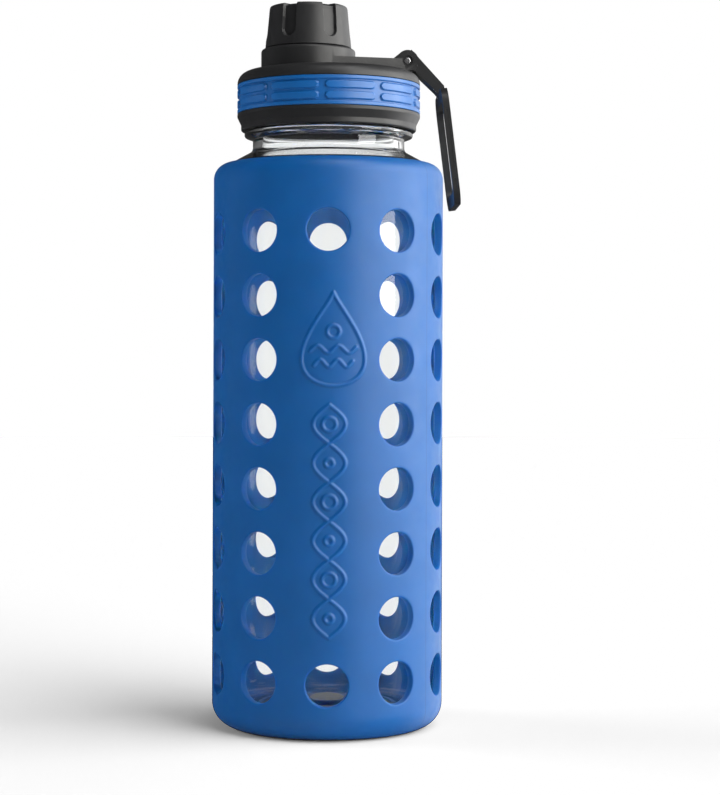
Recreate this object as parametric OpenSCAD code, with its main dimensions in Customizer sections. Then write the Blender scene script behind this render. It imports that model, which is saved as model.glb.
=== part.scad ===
// Glass drinking bottle in a silicone sleeve, with a wide screw lid,
// a small screw cap on an off-centre spout and a swinging carry handle.
// Origin: centre of the sleeve's underside. +Z up, the handle hangs at +X.

/* [Sleeve] */
// Outer diameter of the sleeve
sleeve_d = 88; // [86:0.5:90]
// Wall thickness of the sleeve
sleeve_wall = 3; // [2.6:0.1:3.2]
// Height of the sleeve's top rim
sleeve_top = 215.2; // [214.8:0.1:215.6]
// Radius of the sleeve's bottom edge
sleeve_foot_r = 9.3; // [8:0.1:10]
// Number of window columns round the sleeve
window_columns = 10; // [8:1:10]
// Number of window rows
window_rows = 8; // [4:1:8]
// Diameter of one window
window_d = 15.7; // [10:0.1:17]
// Height of the lowest window's centre
window_low_z = 21.1; // [19:0.1:23]
// Distance between window rows
window_pitch = 23.77; // [20:0.01:23.8]

/* [Glass] */
// Wall thickness of the glass
glass_wall = 2.5; // [2:0.1:3.5]
// Thickness of the glass floor
glass_floor = 5.5; // [4:0.1:7]
// Radius of the neck below the bead
neck_r = 29.1; // [28.8:0.1:29.4]
// Height of the drinking rim of the glass
glass_top = 244.6; // [244.2:0.1:244.7]

/* [Lid] */
// Largest radius of the lid
lid_r = 35.1; // [34.9:0.1:35.5]
// Height of the lid's lower edge
lid_low = 227.5; // [227.3:0.1:228]
// Height of the lid's flat top
lid_top = 250.1; // [250:0.1:250.1]
// Lower edge of the grip band
band_low = 234.2; // [234:0.1:234.5]
// Upper edge of the grip band
band_high = 245.1; // [244.8:0.1:245.1]
// Number of raised bars in one row of the grip band
band_bars = 10; // [6:1:10]
// Pitch of the lid's screw thread
lid_pitch = 6; // [5.5:0.1:6.5]

/* [Spout and cap] */
// Distance of the spout's axis from the bottle's axis
spout_x = -7.9; // [-8.5:0.1:-7]
// Radius of the drinking bore
spout_bore_r = 9.6; // [8:0.1:10]
// Height of the spout's lip
spout_top = 271.5; // [271:0.1:271.5]
// Radius of the cap at its lower edge
cap_low_r = 16.55; // [16.4:0.05:17]
// Radius of the cap at its top
cap_top_r = 15.1; // [15:0.05:15.5]
// Height of the cap's top
cap_top = 275.4; // [275.3:0.1:276]
// Pitch of the cap's screw thread
cap_pitch = 4; // [3.8:0.1:4.2]
// Number of grip grooves round the cap
cap_grooves = 6; // [4:1:8]

/* [Handle] */
// Distance of the hinge pin from the bottle's axis
pin_x = 30; // [29.8:0.1:30.2]
// Height of the hinge pin
pin_z = 253.9; // [253.8:0.1:254.2]
// Radius of the hinge pin
pin_r = 1.3; // [1:0.1:1.5]
// Width of the arm between the hinge ears
arm_w = 10.4; // [9:0.1:10.4]
// Width of the finger loop
loop_w = 46.6; // [44:0.1:50]
// Length of the finger loop
loop_len = 44.3; // [41:0.1:46]
// Thickness of the finger loop
loop_t = 2.5; // [2:0.1:2.5]

/* [Hidden] */
$fn = 96;
eps = 0.01;
fit = 0.1;                                   // gap between still neighbours
play = 0.3;                                  // gap between parts that move on each other

sleeve_r = sleeve_d / 2;
glass_r = sleeve_r - sleeve_wall - fit;
glass_z = sleeve_wall + fit;                 // underside of the glass
glass_foot_r = sleeve_foot_r - sleeve_wall;
shoulder_r = 8;                              // roundness of the glass shoulder
shoulder_z = 208.5;                          // where the straight wall ends
rim_r = 6.2;                                 // roundness of the sleeve's top edge
rim_open_r = 39;                             // radius of the sleeve's mouth

thread_root_r = 28;                          // neck radius under the glass thread
thread_depth = 1.2;
thread_gap = 0.4;                            // radial gap between mating threads
thread_turns = 1.25;
thread_z = 231.5;                            // start of the glass thread
bead_r = 32.3;
bead_low = 224.5;
bead_high = 227;
mouth_r = thread_root_r - glass_wall;

liner_r = 31.3;
liner_in_r = thread_root_r + thread_depth + thread_gap;
liner_low = lid_low + 0.5;
liner_plate = 1.6;
cover_top_t = 2;
liner_top = lid_top - cover_top_t - fit;
plate_low = liner_top - liner_plate;
gasket_gap = 0.15;
band_depth = 2.05;
band_in_r = lid_r - band_depth;
dome_r = 4.7;
skirt_r = 33.65;

tube_r = spout_bore_r + 2;
tube_thread_depth = 0.9;
cap_in_r = tube_r + tube_thread_depth + thread_gap;
tube_thread_turns = 1.5;
tube_thread_z = 262;

bracket_low = lid_top + fit;
ledge_top = 254.7;
collar_r = 18.1;
collar_top = 259;
cap_low = collar_top + play;
cap_plate = 2;
cap_inside_top = cap_top - cap_plate;
ear_r = 4.1;
ear_out = 8.8;                               // outer face of each hinge ear
ear_in = arm_w / 2 + play;
hinge_sweep_r = 5.4;                         // room for the arm's corner as it turns
slot_x = pin_x - 7.4;                        // inner end of the hinge slot

// Points of an arc about [x, z] with radius r from angle a0 to a1.
function arc(x, z, r, a0, a1, n = 6) =
    [for (i = [0:n]) let (a = a0 + (a1 - a0) * i / n) [x + r * cos(a), z + r * sin(a)]];

// A helical thread ridge on a wall of radius r; a negative depth points inwards.
module thread(r, depth, pitch, turns, z0, base_w, crest_w, steps = 36) {
    n = round(turns * steps);
    fade = 5;                                // stations over which each end dies out
    root = r - 0.4 * sign(depth);
    // one ring of four points per station
    rings = [for (i = [0:n])
        let (a = 360 * i / steps, z = z0 + pitch * i / steps,
             s = max(0.06, min(1, i / fade, (n - i) / fade)), crest = r + depth * s)
        each [for (p = [[root, -base_w / 2], [crest, -crest_w / 2], [crest, crest_w / 2], [root, base_w / 2]])
            [p[0] * cos(a), p[0] * sin(a), z + p[1]]]];
    flip = depth > 0;                        // keeps the faces turned outwards
    side = [for (i = [0:n - 1], k = [0:3])
        let (a = 4 * i + k, b = 4 * i + (k + 1) % 4, c = a + 4, d = b + 4)
        each (flip ? [[a, b, c], [b, d, c]] : [[a, c, b], [b, c, d]])];
    caps = flip ? [[3, 2, 1, 0], [4 * n, 4 * n + 1, 4 * n + 2, 4 * n + 3]]
                : [[0, 1, 2, 3], [4 * n + 3, 4 * n + 2, 4 * n + 1, 4 * n]];
    polyhedron(points = rings, faces = concat(side, caps));
}

// Clear bottle: heavy floor with a push-up, round shoulder, beaded and threaded neck.
module glass_bottle() {
    in_r = glass_r - glass_wall;
    floor_z = glass_z + glass_floor;
    cx = glass_r - shoulder_r;
    in_shoulder = shoulder_r - glass_wall;
    outline = concat(
        [[0, glass_z + 1.6], [24, glass_z + 1.2], [28, glass_z]],
        arc(glass_r - glass_foot_r, glass_z + glass_foot_r, glass_foot_r, -90, 0),
        arc(cx, shoulder_z, shoulder_r, 0, 65),
        arc(neck_r + 2.6, 221.2, 2.6, 245, 180, 4),
        [[neck_r, bead_low], [bead_r - 0.7, bead_low + 0.8], [bead_r, bead_low + 1.6],
         [bead_r, bead_high - 0.4], [bead_r - 0.4, bead_high], [thread_root_r, bead_high]],
        arc(thread_root_r - 1.2, glass_top - 1.2, 1.2, 0, 90, 4),
        arc(mouth_r + 0.8, glass_top - 0.8, 0.8, 90, 180, 4),
        arc(mouth_r + 3.6, 220.6, 3.6, 180, 245, 4),
        arc(cx, shoulder_z, in_shoulder, 65, 0),
        arc(in_r - 5, floor_z + 5, 5, 0, -90),
        [[0, floor_z]]
    );
    color([0.86, 0.93, 0.95, 0.5]) union() {
        rotate_extrude() polygon(outline);
        thread(thread_root_r, thread_depth, lid_pitch, thread_turns, thread_z, 2.4, 1.2);
    }
}

// The wall of the sleeve before its windows are cut.
module sleeve_shell() {
    in_r = sleeve_r - sleeve_wall;
    cx = glass_r - shoulder_r;
    in_arc = shoulder_r + fit;
    end_a = acos((rim_open_r - cx) / in_arc);
    top_a = acos((rim_open_r - (sleeve_r - rim_r)) / rim_r);
    outline = concat(
        [[0, 0]],
        arc(sleeve_r - sleeve_foot_r, sleeve_foot_r, sleeve_foot_r, -90, 0),
        arc(sleeve_r - rim_r, sleeve_top - rim_r, rim_r, 0, top_a),
        arc(cx, shoulder_z, in_arc, end_a, 0, 4),
        arc(in_r - glass_foot_r, sleeve_wall + glass_foot_r, glass_foot_r, 0, -90, 4),
        [[0, sleeve_wall]]
    );
    rotate_extrude() polygon(outline);
}

// Sleeve: every column has windows in all rows, except the front one,
// which keeps only its lowest and highest window.
module silicone_sleeve() {
    color([0.1, 0.38, 0.7]) difference() {
        sleeve_shell();
        for (column = [0:window_columns - 1], row = [0:window_rows - 1])
            if (column > 0 || row == 0 || row == window_rows - 1)
                rotate([0, 0, -90 + 360 / window_columns * column])
                    translate([sleeve_r - 2 * sleeve_wall, 0, window_low_z + window_pitch * row])
                        rotate([0, 90, 0]) cylinder(d = window_d, h = 3 * sleeve_wall);
    }
}

// Outer shell of the lid: skirt, channel for the grip band and domed top.
module lid_cover() {
    in_r = liner_r + fit;
    outline = concat(
        [[in_r, lid_low], [skirt_r - 0.4, lid_low], [skirt_r, lid_low + 0.4], [skirt_r, 229.8],
         [lid_r, 232.8], [lid_r, band_low - fit], [band_in_r - fit, band_low - fit],
         [band_in_r - fit, band_high + fit], [lid_r, band_high + fit]],
        arc(lid_r - dome_r, lid_top - dome_r, dome_r, 0, 90),
        [[0, lid_top], [0, lid_top - cover_top_t], [in_r, lid_top - cover_top_t]]
    );
    color([0.13, 0.13, 0.14]) difference() {
        rotate_extrude() polygon(outline);
        translate([spout_x, 0, lid_low]) cylinder(r = tube_r + 0.4, h = 40);
        translate([pin_x, -ear_in, pin_z]) rotate([-90, 0, 0])
            cylinder(r = hinge_sweep_r, h = 2 * ear_in);
    }
}

// Threaded inside of the lid, one moulding with the drinking spout.
module lid_liner() {
    color([0.2, 0.2, 0.21]) difference() {
        union() {
            rotate_extrude() polygon([
                [liner_in_r, liner_low], [liner_r, liner_low], [liner_r, liner_top],
                [0, liner_top], [0, plate_low], [liner_in_r, plate_low]
            ]);
            translate([spout_x, 0, 0]) rotate_extrude() polygon(concat(
                [[0, plate_low + eps], [tube_r, plate_low + eps]],
                arc(tube_r - 0.8, spout_top - 0.8, 0.8, 0, 90, 4),
                [[0, spout_top]]
            ));
            thread(liner_in_r, -thread_depth, lid_pitch, thread_turns,
                   thread_z + lid_pitch / 2, 2.4, 1.2);
            translate([spout_x, 0, 0])
                thread(tube_r, tube_thread_depth, cap_pitch, tube_thread_turns,
                       tube_thread_z, 1.6, 0.8);
        }
        translate([spout_x, 0, plate_low - 1]) cylinder(r = spout_bore_r, h = 40);
    }
}

// Grip band: a ring with two rims and two rows of raised bars.
module grip_band() {
    groove_r = lid_r - 0.65;
    rim_h = 1.4;
    bar_h = 2.7;
    bar_gap = 1.3;
    bar_step = 360 / band_bars;
    bar_angle = bar_step - 4.1;
    bar_start = -90 - 4.2 + 4.1 / 2;
    mid_z = (band_low + band_high) / 2;
    color([0.1, 0.38, 0.7]) union() {
        rotate_extrude() polygon([
            [band_in_r, band_low], [lid_r, band_low], [lid_r, band_low + rim_h],
            [groove_r, band_low + rim_h], [groove_r, band_high - rim_h],
            [lid_r, band_high - rim_h], [lid_r, band_high], [band_in_r, band_high]
        ]);
        for (i = [0:band_bars - 1], side = [-1, 1])
            rotate([0, 0, bar_start + bar_step * i])
                translate([0, 0, mid_z + side * (bar_h + bar_gap) / 2 - bar_h / 2])
                    rotate_extrude(angle = bar_angle)
                        translate([groove_r - 0.3, 0]) square([0.95, bar_h]);
    }
}

// Ring seal between the liner and the drinking rim.
module lid_gasket() {
    low = glass_top + gasket_gap;
    color([0.85, 0.86, 0.86]) rotate_extrude() polygon([
        [mouth_r - 0.1, low], [thread_root_r + 0.8, low],
        [thread_root_r + 0.8, plate_low - gasket_gap], [mouth_r - 0.1, plate_low - gasket_gap]
    ]);
}

// Side outline of one hinge ear, rising out of the ledge.
module ear_outline() {
    intersection() {
        union() {
            translate([pin_x, pin_z]) circle(r = ear_r);
            polygon([[slot_x - 1, bracket_low], [pin_x + 3.2, bracket_low], [pin_x + ear_r, pin_z],
                     [pin_x, ledge_top + 2], [pin_x - 3, pin_z + 2.8], [pin_x - 5.5, ledge_top],
                     [slot_x - 1, ledge_top]]);
        }
        translate([slot_x - 1, bracket_low]) square([20, 20]);
    }
}

// Collar round the spout with the ledge and the two hinge ears.
module hinge_bracket() {
    edge = 1.2;
    // where the ledge's sides leave the collar
    reach = pin_x - spout_x;
    side_r = collar_r - 0.9;
    tip = atan2(ear_out, reach) + acos(side_r / norm([reach, ear_out]));
    touch = [spout_x + side_r * cos(tip), side_r * sin(tip)];
    color([0.12, 0.12, 0.13]) difference() {
        union() {
            translate([spout_x, 0, 0]) rotate_extrude() polygon(concat(
                [[tube_r + 0.4, bracket_low], [collar_r, bracket_low]],
                arc(collar_r - edge, collar_top - edge, edge, 0, 90, 4),
                [[tube_r + 0.4, collar_top]]
            ));
            difference() {
                translate([0, 0, bracket_low]) linear_extrude(ledge_top - bracket_low)
                    polygon([touch, [pin_x - 1, ear_out], [pin_x - 1, -ear_out], [touch[0], -touch[1]]]);
                translate([spout_x, 0, bracket_low - 1]) cylinder(r = collar_r - 2, h = 20);
            }
            for (y = [-ear_out, ear_in])
                translate([0, y + ear_out - ear_in, 0]) rotate([90, 0, 0])
                    linear_extrude(ear_out - ear_in) ear_outline();
        }
        translate([slot_x, -ear_in, bracket_low - 1]) cube([20, 2 * ear_in, 20]);
        translate([pin_x, -20, pin_z]) rotate([-90, 0, 0]) cylinder(r = pin_r + 0.02, h = 40);
        for (y = [-ear_out - 1, ear_out - 0.5])
            translate([pin_x, y, pin_z]) rotate([-90, 0, 0]) cylinder(r = 2, h = 1.5);
    }
}

// Steel pin through both ears, with chamfered ends.
module hinge_pin() {
    half = ear_out - 0.2;
    color([0.75, 0.76, 0.78]) translate([pin_x, 0, pin_z]) rotate([90, 0, 0])
        rotate_extrude() polygon([
            [0, -half], [pin_r - 0.3, -half], [pin_r, -half + 0.3],
            [pin_r, half - 0.3], [pin_r - 0.3, half], [0, half]
        ]);
}

// Plan outline of a plate with rounded corners: length along X from x0, width along Y.
module rounded_plate(x0, x1, w, r) {
    translate([x0 + r, -w / 2]) square([x1 - x0 - 2 * r, w]);
    translate([x0, -w / 2 + r]) square([x1 - x0, w - 2 * r]);
    for (x = [x0 + r, x1 - r], y = [-w / 2 + r, w / 2 - r])
        translate([x, y]) circle(r = r);
}

// Arm on the hinge pin, bent over the lid's edge, with a flat finger loop below.
module carry_handle() {
    loop_tilt = 7.03;                        // the loop leans outwards
    loop_x = 44.4;                           // top of the loop's outer face
    loop_z = 242.6;
    leg_w = 4.2;
    bar_top = 5;
    bar_end = 4.7;
    arm = [
        [pin_x + 1.6, pin_z + 4.7], [44.1, 244.9], [44.5, 241.8], [45, 237.6],
        [42.6, 237.6], [41.9, 241.6], [40.6, 243.1], [pin_x - 0.41, pin_z - 0.4],
        [pin_x + 0.2, pin_z + 3.5]
    ];
    color([0.12, 0.12, 0.13]) difference() {
        union() {
            translate([0, arm_w / 2, 0]) rotate([90, 0, 0]) linear_extrude(arm_w) union() {
                polygon(arm);
                translate([pin_x, pin_z]) circle(r = 3.5);
            }
            translate([loop_x, 0, loop_z]) rotate([0, 90 - loop_tilt, 0])
                translate([0, 0, -loop_t]) difference() {
                    linear_extrude(loop_t) rounded_plate(0, loop_len, loop_w, 7);
                    translate([0, 0, -1]) linear_extrude(loop_t + 2)
                        rounded_plate(bar_top, loop_len - bar_end, loop_w - 2 * leg_w, 4);
                    // recesses in the outer side of each leg: [from, to] along the leg
                    for (span = [[8.5, 31.2], [34.6, 38.3]], side = [-1, 1])
                        translate([span[0], side * loop_w / 2 - 0.6, loop_t / 2 - 0.6])
                            cube([span[1] - span[0], 1.2, 1.2]);
                }
        }
        translate([pin_x, -arm_w, pin_z]) rotate([-90, 0, 0])
            cylinder(r = pin_r + 0.08, h = 2 * arm_w);
    }
}

// Small screw cap with grip grooves that end in round bottoms.
module spout_cap() {
    lean = atan((cap_low_r - cap_top_r) / (cap_top - cap_low));
    groove_w = 6.2;
    groove_depth = 1.5;
    groove_low = 262.6;
    first_groove = -90 + 33.5;
    outline = concat(
        [[cap_in_r, cap_low], [cap_low_r - 0.3, cap_low], [cap_low_r, cap_low + 0.3]],
        arc(cap_top_r - 1, cap_top - 1, 1, 0, 90, 4),
        [[0, cap_top], [0, cap_inside_top], [cap_in_r, cap_inside_top]]
    );
    color([0.12, 0.12, 0.13]) translate([spout_x, 0, 0]) union() {
        difference() {
            rotate_extrude() polygon(outline);
            for (i = [0:cap_grooves - 1])
                rotate([0, 0, first_groove + 360 / cap_grooves * i])
                    translate([cap_low_r - groove_depth, 0, cap_low]) rotate([0, -lean, 0]) {
                        translate([0, 0, groove_low + groove_w / 2 - cap_low]) rotate([0, 90, 0])
                            cylinder(d = groove_w, h = 6);
                        translate([0, -groove_w / 2, groove_low + groove_w / 2 - cap_low])
                            cube([6, groove_w, 20]);
                    }
        }
        thread(cap_in_r, -tube_thread_depth, cap_pitch, tube_thread_turns,
               tube_thread_z + cap_pitch / 2, 1.6, 0.8);
    }
}

// Soft disc that closes the spout inside the cap.
module spout_cap_seal() {
    color([0.85, 0.86, 0.86]) translate([spout_x, 0, spout_top + gasket_gap])
        cylinder(r = cap_in_r - 0.5, h = cap_inside_top - spout_top - 2 * gasket_gap);
}

glass_bottle();
silicone_sleeve();
lid_cover();
lid_liner();
grip_band();
lid_gasket();
hinge_bracket();
hinge_pin();
carry_handle();
spout_cap();
spout_cap_seal();
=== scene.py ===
"""Visual model of a glass drinking bottle in a windowed silicone sleeve.

Everything is in metres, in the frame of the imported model: +Z is up, the origin is the
centre of the sleeve's underside, the raised panel faces -Y and the handle hangs at +X.
"""

from __future__ import annotations

import logging
import math
from dataclasses import dataclass
from enum import Enum
from typing import Callable, Iterable, Optional, Sequence

import bmesh
import bpy
import numpy as np
from mathutils import Euler, Matrix, Vector

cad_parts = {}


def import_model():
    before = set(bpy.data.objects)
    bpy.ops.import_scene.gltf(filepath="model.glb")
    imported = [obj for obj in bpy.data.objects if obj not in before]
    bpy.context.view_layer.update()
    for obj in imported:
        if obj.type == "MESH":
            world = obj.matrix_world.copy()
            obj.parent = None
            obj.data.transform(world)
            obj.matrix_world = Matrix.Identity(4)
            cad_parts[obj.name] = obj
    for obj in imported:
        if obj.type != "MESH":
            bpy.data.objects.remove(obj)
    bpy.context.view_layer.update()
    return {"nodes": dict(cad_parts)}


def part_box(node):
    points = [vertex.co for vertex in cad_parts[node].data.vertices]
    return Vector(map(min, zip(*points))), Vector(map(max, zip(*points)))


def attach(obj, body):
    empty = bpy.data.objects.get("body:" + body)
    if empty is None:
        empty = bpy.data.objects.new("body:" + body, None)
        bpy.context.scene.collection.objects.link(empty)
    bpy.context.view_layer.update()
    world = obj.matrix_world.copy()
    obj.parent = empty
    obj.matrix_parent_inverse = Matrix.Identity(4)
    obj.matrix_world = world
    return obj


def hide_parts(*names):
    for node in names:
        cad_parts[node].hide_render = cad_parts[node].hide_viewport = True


LOG = logging.getLogger("bottle")
MM = 0.001
FRONT = -math.pi / 2
WELD = 2e-6  # points closer than this become one
EDGE_CHORDS = 3  # chords across a softened edge
PATTERN_SPAN = (0.3, 0.7)  # where a noise pattern has most of its values
Relief = Callable[[np.ndarray, np.ndarray, np.ndarray], np.ndarray]


class Slot(Enum):
    """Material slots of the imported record."""

    GLASS = "clear_glass"
    SLEEVE = "blue_silicone"
    BAND = "blue_band"
    PLASTIC = "black_plastic"
    SEAL = "seal_silicone"
    STEEL = "pin_steel"


# ---------------------------------------------------------------- outlines


def arc(cx: float, cz: float, radius: float, start: float, end: float, steps: int = 8) -> list[tuple]:
    """Points of an arc in the outline plane.

    Args:
        cx: Distance of the arc's centre from the axis.
        cz: Height of the arc's centre.
        radius: Radius of the arc.
        start: First angle in degrees.
        end: Last angle in degrees.
        steps: Number of chords.

    Returns:
        The points as (distance, height) pairs.
    """
    angles = np.radians(np.linspace(start, end, steps + 1))
    return [(cx + radius * math.cos(a), cz + radius * math.sin(a)) for a in angles]


def rounded(corners: Sequence[tuple], steps: int = 5) -> list[tuple]:
    """Rounds the corners of a closed outline.

    Args:
        corners: (distance, height) points, or (distance, height, radius) to round that corner.
        steps: Chords in each rounded corner.

    Returns:
        The outline's points as (distance, height) pairs.
    """
    points: list[tuple] = []
    total = len(corners)
    for i, corner in enumerate(corners):
        if len(corner) < 3:
            points.append(tuple(corner))
            continue
        here = np.array(corner[:2])
        back = np.array(corners[i - 1][:2]) - here
        ahead = np.array(corners[(i + 1) % total][:2]) - here
        back /= np.linalg.norm(back)
        ahead /= np.linalg.norm(ahead)
        half = math.acos(float(np.clip(back @ ahead, -1, 1))) / 2
        middle = here + (back + ahead) / np.linalg.norm(back + ahead) * corner[2] / math.sin(half)
        first = here + back * corner[2] / math.tan(half) - middle
        last = here + ahead * corner[2] / math.tan(half) - middle
        a0 = math.atan2(first[1], first[0])
        sweep = (math.atan2(last[1], last[0]) - a0 + math.pi) % (2 * math.pi) - math.pi
        for k in range(steps + 1):
            a = a0 + sweep * k / steps
            points.append((middle[0] + corner[2] * math.cos(a), middle[1] + corner[2] * math.sin(a)))
    return points


def smooth_step(low: float, high: float, value: np.ndarray) -> np.ndarray:
    """Smooth ramp between two ends.

    Args:
        low: Value where the ramp is 0; it may be the larger end.
        high: Value where the ramp is 1.
        value: Values to look up.

    Returns:
        The ramp at each value.
    """
    t = np.clip((value - low) / (high - low), 0, 1)
    return t * t * (3 - 2 * t)


def helix_ridge(pitch: float, turns: float, start: float, half: float, depth: float) -> Relief:
    """Relief of a right-handed thread ridge that dies out at both ends.

    Args:
        pitch: Rise in one turn.
        turns: Number of turns.
        start: Height of the ridge's centre where it begins, on the +X side.
        half: Half of the ridge's width at its foot.
        depth: Height of the ridge, negative for one that points inwards.

    Returns:
        A function of angle, radius and height that gives the new radius.
    """

    def relief(theta: np.ndarray, radius: np.ndarray, height: np.ndarray) -> np.ndarray:
        """Raises the ridge on a round wall.

        Args:
            theta: Angle of each point.
            radius: Plain radius of each point.
            height: Height of each point.

        Returns:
            The new radius of each point.
        """
        share = (theta % (2 * math.pi)) / (2 * math.pi)
        ridge = np.zeros_like(radius)
        for k in range(math.ceil(turns) + 1):
            turn = share + k
            fade = np.clip(np.minimum(turn, turns - turn) * 7, 0, 1)
            off = np.abs(height - start - pitch * turn)
            ridge = np.maximum(ridge, fade * smooth_step(half, half * 0.45, off))
        return radius + depth * ridge

    return relief


# ---------------------------------------------------------------- meshes


class MeshDraft:
    """Collects grids of points and welds them into one clean mesh."""

    def __init__(self) -> None:
        """Starts an empty draft."""
        self.points: list[np.ndarray] = []
        self.faces: list[tuple] = []
        self.count = 0

    def add(self, points: np.ndarray) -> int:
        """Adds points.

        Args:
            points: Array whose last side is 3 long.

        Returns:
            The index of the first new point.
        """
        first = self.count
        self.points.append(points.reshape(-1, 3))
        self.count += len(self.points[-1])
        return first

    def grid(self, points: np.ndarray, wrap_rows: bool = False, wrap_cols: bool = False) -> None:
        """Adds a sheet of quads.

        Args:
            points: Array of rows by columns by 3.
            wrap_rows: Joins the last row to the first.
            wrap_cols: Joins the last column to the first.
        """
        rows, cols = points.shape[:2]
        first = self.add(points)
        r, c = np.meshgrid(
            np.arange(rows if wrap_rows else rows - 1),
            np.arange(cols if wrap_cols else cols - 1),
            indexing="ij",
        )
        r2, c2 = (r + 1) % rows, (c + 1) % cols
        quads = np.stack([r * cols + c, r * cols + c2, r2 * cols + c2, r2 * cols + c], -1)
        self.faces.extend(map(tuple, (quads.reshape(-1, 4) + first).tolist()))

    def lathe(
        self,
        outline: Sequence[tuple],
        angles: np.ndarray,
        centre_x: float = 0.0,
        relief: Optional[Relief] = None,
        sink: Optional[Relief] = None,
        closed: bool = True,
    ) -> None:
        """Turns an outline about a vertical axis.

        Args:
            outline: (distance, height) points.
            angles: Angles of the columns, all the way round.
            centre_x: Distance of the axis from the bottle's axis.
            relief: Gives the new radius from the angle, radius and height.
            sink: Gives the new height from the same three.
            closed: Joins the outline's last point to its first.
        """
        flat = np.array(outline)
        theta, radius = np.meshgrid(angles, flat[:, 0])
        height = np.repeat(flat[:, 1:2], len(angles), 1)
        plain = radius
        if relief:
            radius = relief(theta, plain, height)
        if sink:
            height = sink(theta, plain, height)
        points = np.stack([centre_x + radius * np.cos(theta), radius * np.sin(theta), height], -1)
        self.grid(points, wrap_rows=closed, wrap_cols=True)

    def build(self, name: str, crease: Optional[float] = None) -> bpy.types.Object:
        """Makes the object.

        Args:
            name: Name of the piece.
            crease: Edges sharper than this many degrees stay sharp.

        Returns:
            The new object, smooth shaded, in the scene.
        """
        mesh = bpy.data.meshes.new(name)
        mesh.from_pydata(np.concatenate(self.points).tolist(), [], self.faces)
        form = bmesh.new()
        form.from_mesh(mesh)
        bmesh.ops.remove_doubles(form, verts=form.verts, dist=WELD)
        bmesh.ops.recalc_face_normals(form, faces=form.faces)
        form.to_mesh(mesh)
        form.free()
        mesh.shade_smooth()
        if crease:
            mesh.set_sharp_from_angle(angle=math.radians(crease))
        piece = bpy.data.objects.new(name, mesh)
        bpy.context.collection.objects.link(piece)
        return piece


def round_angles(count: int) -> np.ndarray:
    """Evenly spaced angles all the way round."""
    return np.linspace(0, 2 * math.pi, count, endpoint=False)


def apply_modifiers(piece: bpy.types.Object) -> None:
    """Bakes modifiers into a mesh.

    Args:
        piece: Piece whose modifiers are baked and removed.
    """
    bpy.context.view_layer.update()
    result = piece.evaluated_get(bpy.context.evaluated_depsgraph_get())
    mesh = bpy.data.meshes.new_from_object(result)
    piece.modifiers.clear()
    piece.data = mesh


def even_normals(piece: bpy.types.Object) -> None:
    """Lets large faces set the shading, so that flats stay flat beside rounded edges.

    Args:
        piece: Piece to shade so.
    """
    weighted = piece.modifiers.new("even_normals", "WEIGHTED_NORMAL")
    weighted.keep_sharp = True
    weighted.weight = 90


def softened(node: str, name: str, edge: float) -> bpy.types.Object:
    """Copies a moulded CAD node and rounds all its sharp edges.

    Args:
        node: CAD node to start from.
        name: Name of the new piece.
        edge: Radius of the rounding.

    Returns:
        The new piece, which stands for the node.
    """
    mesh = bpy.data.objects[node].data.copy()
    form = bmesh.new()
    form.from_mesh(mesh)
    bmesh.ops.remove_doubles(form, verts=form.verts, dist=WELD)
    bmesh.ops.dissolve_limit(
        form, angle_limit=math.radians(0.6), verts=form.verts, edges=form.edges, delimit=set()
    )
    form.to_mesh(mesh)
    form.free()
    piece = bpy.data.objects.new(name, mesh)
    bpy.context.collection.objects.link(piece)
    bevel = piece.modifiers.new("edges", "BEVEL")
    bevel.width = edge
    bevel.segments = EDGE_CHORDS
    bevel.limit_method = "ANGLE"
    bevel.angle_limit = math.radians(32)
    bevel.use_clamp_overlap = True
    bevel.miter_outer = "MITER_ARC"
    apply_modifiers(piece)
    piece.data.shade_smooth()
    piece.data.set_sharp_from_angle(angle=math.radians(40))
    even_normals(piece)
    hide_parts(node)
    return piece


# ---------------------------------------------------------------- finishes


def wire(tree: bpy.types.NodeTree, kind: str, sockets: dict, **options: object) -> bpy.types.Node:
    """Adds a shader node.

    Args:
        tree: Tree that it joins.
        kind: Node type without its usual first word.
        sockets: Number or linked socket for each input, by name or place.
        options: Settings of the node.

    Returns:
        The new node.
    """
    node = tree.nodes.new("ShaderNode" + kind)
    for name, value in options.items():
        setattr(node, name, value)
    for key, value in sockets.items():
        if isinstance(value, bpy.types.NodeSocket):
            tree.links.new(value, node.inputs[key])
        else:
            node.inputs[key].default_value = value
    return node


def ramp(
    tree: bpy.types.NodeTree,
    value: bpy.types.NodeSocket,
    low: float,
    high: float,
    ends: tuple,
    curve: str = "SMOOTHSTEP",
) -> bpy.types.NodeSocket:
    """Maps a value from one range onto another.

    Args:
        tree: Tree that the node joins.
        value: Value to map.
        low: Value that gives the first end.
        high: Value that gives the second end.
        ends: The two results.
        curve: Way of going from one to the other.

    Returns:
        The mapped value.
    """
    node = wire(tree, "MapRange", {
        "Value": value, "From Min": low, "From Max": high, "To Min": ends[0], "To Max": ends[1],
    }, interpolation_type=curve)
    return node.outputs["Result"]


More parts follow.
